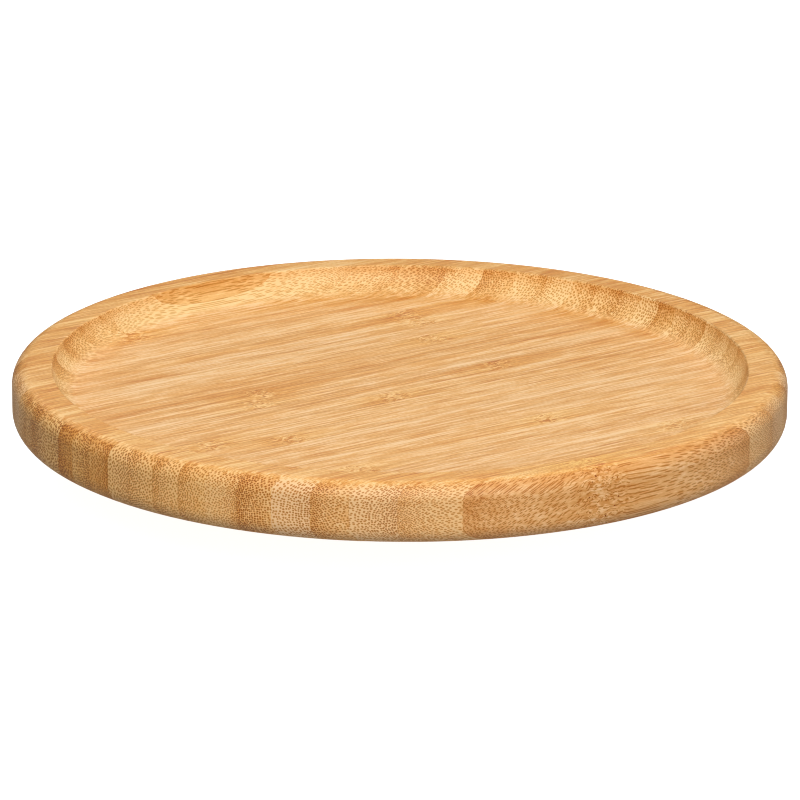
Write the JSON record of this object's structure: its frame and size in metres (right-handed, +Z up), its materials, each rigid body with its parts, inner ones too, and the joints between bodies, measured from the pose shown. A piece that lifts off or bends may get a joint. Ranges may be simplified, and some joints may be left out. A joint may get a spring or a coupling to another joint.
{
  "type": "lazy susan turntable",
  "caption": "Round bamboo serving tray with a shallow coved recess, turning on a ball bearing and a smaller round base with rubber feet.",
  "frame": {"origin": "on the turning axis, at the height of the feet's undersides", "axes": "+Z up along the turning axis; +X and +Y along the sides of the square bearing plates, with the base's access hole towards -Y"},
  "size_m": [0.25, 0.25, 0.04],
  "materials": {
    "bamboo_tray": "satin oiled bamboo, vertical strips",
    "bamboo_base": "satin bamboo, vertical strips",
    "zinc_steel": "bright zinc plate on pressed steel",
    "screw_steel": "zinc plated",
    "ball_steel": "polished bearing steel",
    "nylon_cage": "natural nylon",
    "foot_rubber": "matte black rubber"
  },
  "bodies": {
    "base": {"base_board": "bamboo_base", "lower_race_plate": "zinc_steel", "lower_plate_screws": "screw_steel", "rubber_foot_1": "foot_rubber", "rubber_foot_2": "foot_rubber", "rubber_foot_3": "foot_rubber", "rubber_foot_4": "foot_rubber", "foot_washers": "zinc_steel", "foot_screws": "screw_steel"},
    "turntable": {"tray_board": "bamboo_tray", "upper_race_plate": "zinc_steel", "upper_plate_screws": "screw_steel"},
    "ball_cage": {"ball_cage": "nylon_cage"},
    "ball_01": {"bearing_ball_01": "ball_steel"},
    "ball_02": {"bearing_ball_02": "ball_steel"},
    "ball_03": {"bearing_ball_03": "ball_steel"},
    "ball_04": {"bearing_ball_04": "ball_steel"},
    "ball_05": {"bearing_ball_05": "ball_steel"},
    "ball_06": {"bearing_ball_06": "ball_steel"},
    "ball_07": {"bearing_ball_07": "ball_steel"},
    "ball_08": {"bearing_ball_08": "ball_steel"},
    "ball_09": {"bearing_ball_09": "ball_steel"},
    "ball_10": {"bearing_ball_10": "ball_steel"},
    "ball_11": {"bearing_ball_11": "ball_steel"},
    "ball_12": {"bearing_ball_12": "ball_steel"},
    "ball_13": {"bearing_ball_13": "ball_steel"},
    "ball_14": {"bearing_ball_14": "ball_steel"},
    "ball_15": {"bearing_ball_15": "ball_steel"},
    "ball_16": {"bearing_ball_16": "ball_steel"}
  },
  "joints": [
    {"name": "turntable_spin", "type": "hinge", "parent": "base", "child": "turntable", "pos_m": [0, 0, 0.016], "axis": [0, 0, 1], "continuous": true},
    {"name": "cage_orbit", "type": "hinge", "parent": "base", "child": "ball_cage", "pos_m": [0, 0, 0.016], "axis": [0, 0, 1], "continuous": true},
    {"name": "ball_roll_01", "type": "hinge", "parent": "ball_cage", "child": "ball_01", "pos_m": [0.024, 0, 0.016], "axis": [1, 0, 0], "continuous": true},
    {"name": "ball_roll_02", "type": "hinge", "parent": "ball_cage", "child": "ball_02", "pos_m": [0.02217, 0.00918, 0.016], "axis": [0.9239, 0.3827, 0], "continuous": true},
    {"name": "ball_roll_03", "type": "hinge", "parent": "ball_cage", "child": "ball_03", "pos_m": [0.01697, 0.01697, 0.016], "axis": [0.7071, 0.7071, 0], "continuous": true},
    {"name": "ball_roll_04", "type": "hinge", "parent": "ball_cage", "child": "ball_04", "pos_m": [0.00918, 0.02217, 0.016], "axis": [0.3827, 0.9239, 0], "continuous": true},
    {"name": "ball_roll_05", "type": "hinge", "parent": "ball_cage", "child": "ball_05", "pos_m": [0, 0.024, 0.016], "axis": [0, 1, 0], "continuous": true},
    {"name": "ball_roll_06", "type": "hinge", "parent": "ball_cage", "child": "ball_06", "pos_m": [-0.00918, 0.02217, 0.016], "axis": [-0.3827, 0.9239, 0], "continuous": true},
    {"name": "ball_roll_07", "type": "hinge", "parent": "ball_cage", "child": "ball_07", "pos_m": [-0.01697, 0.01697, 0.016], "axis": [-0.7071, 0.7071, 0], "continuous": true},
    {"name": "ball_roll_08", "type": "hinge", "parent": "ball_cage", "child": "ball_08", "pos_m": [-0.02217, 0.00918, 0.016], "axis": [-0.9239, 0.3827, 0], "continuous": true},
    {"name": "ball_roll_09", "type": "hinge", "parent": "ball_cage", "child": "ball_09", "pos_m": [-0.024, 0, 0.016], "axis": [-1, 0, 0], "continuous": true},
    {"name": "ball_roll_10", "type": "hinge", "parent": "ball_cage", "child": "ball_10", "pos_m": [-0.02217, -0.00918, 0.016], "axis": [-0.9239, -0.3827, 0], "continuous": true},
    {"name": "ball_roll_11", "type": "hinge", "parent": "ball_cage", "child": "ball_11", "pos_m": [-0.01697, -0.01697, 0.016], "axis": [-0.7071, -0.7071, 0], "continuous": true},
    {"name": "ball_roll_12", "type": "hinge", "parent": "ball_cage", "child": "ball_12", "pos_m": [-0.00918, -0.02217, 0.016], "axis": [-0.3827, -0.9239, 0], "continuous": true},
    {"name": "ball_roll_13", "type": "hinge", "parent": "ball_cage", "child": "ball_13", "pos_m": [0, -0.024, 0.016], "axis": [0, -1, 0], "continuous": true},
    {"name": "ball_roll_14", "type": "hinge", "parent": "ball_cage", "child": "ball_14", "pos_m": [0.00918, -0.02217, 0.016], "axis": [0.3827, -0.9239, 0], "continuous": true},
    {"name": "ball_roll_15", "type": "hinge", "parent": "ball_cage", "child": "ball_15", "pos_m": [0.01697, -0.01697, 0.016], "axis": [0.7071, -0.7071, 0], "continuous": true},
    {"name": "ball_roll_16", "type": "hinge", "parent": "ball_cage", "child": "ball_16", "pos_m": [0.02217, -0.00918, 0.016], "axis": [0.9239, -0.3827, 0], "continuous": true}
  ],
  "couplings": [
    {"joint": "cage_orbit", "follows": "turntable_spin", "ratio": 0.5},
    {"joint": "ball_roll_01", "follows": "turntable_spin", "ratio": -5.042},
    {"joint": "ball_roll_02", "follows": "turntable_spin", "ratio": -5.042},
    {"joint": "ball_roll_03", "follows": "turntable_spin", "ratio": -5.042},
    {"joint": "ball_roll_04", "follows": "turntable_spin", "ratio": -5.042},
    {"joint": "ball_roll_05", "follows": "turntable_spin", "ratio": -5.042},
    {"joint": "ball_roll_06", "follows": "turntable_spin", "ratio": -5.042},
    {"joint": "ball_roll_07", "follows": "turntable_spin", "ratio": -5.042},
    {"joint": "ball_roll_08", "follows": "turntable_spin", "ratio": -5.042},
    {"joint": "ball_roll_09", "follows": "turntable_spin", "ratio": -5.042},
    {"joint": "ball_roll_10", "follows": "turntable_spin", "ratio": -5.042},
    {"joint": "ball_roll_11", "follows": "turntable_spin", "ratio": -5.042},
    {"joint": "ball_roll_12", "follows": "turntable_spin", "ratio": -5.042},
    {"joint": "ball_roll_13", "follows": "turntable_spin", "ratio": -5.042},
    {"joint": "ball_roll_14", "follows": "turntable_spin", "ratio": -5.042},
    {"joint": "ball_roll_15", "follows": "turntable_spin", "ratio": -5.042},
    {"joint": "ball_roll_16", "follows": "turntable_spin", "ratio": -5.042}
  ]
}
